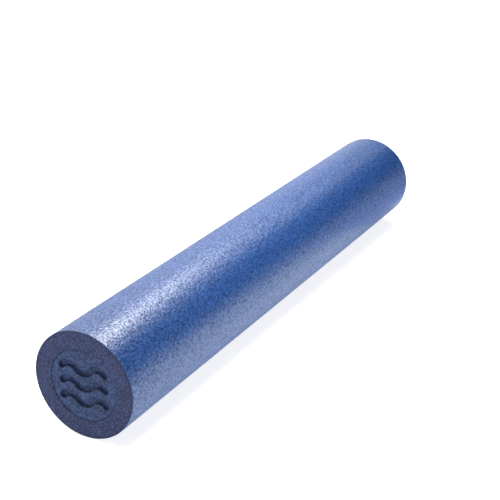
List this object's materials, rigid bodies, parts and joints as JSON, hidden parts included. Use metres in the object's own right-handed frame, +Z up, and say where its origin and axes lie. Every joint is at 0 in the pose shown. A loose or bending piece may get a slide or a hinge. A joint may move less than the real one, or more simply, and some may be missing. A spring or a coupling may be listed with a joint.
{
  "type": "foam roller",
  "caption": "Full-length round foam roller: solid closed-cell foam log in a pebbled blue skin, with a slightly sunk, wave-debossed disc in each end.",
  "frame": {"origin": "on the roller's axis at mid-length", "axes": "+X along the roller's axis towards the far end, +Z up as it lies on the floor, so the floor is at Z = -0.076"},
  "size_m": [0.914, 0.152, 0.152],
  "materials": {
    "skin": "blue moulded foam skin, fine pebble grain, satin",
    "core_foam": "slate violet cut closed-cell foam, turned, matte",
    "disc_foam": "slate blue pressed closed-cell foam, matte"
  },
  "bodies": {
    "root": {"foam_core": "core_foam", "outer_skin": "skin", "near_end_disc": "disc_foam", "far_end_disc": "disc_foam"}
  },
  "joints": []
}
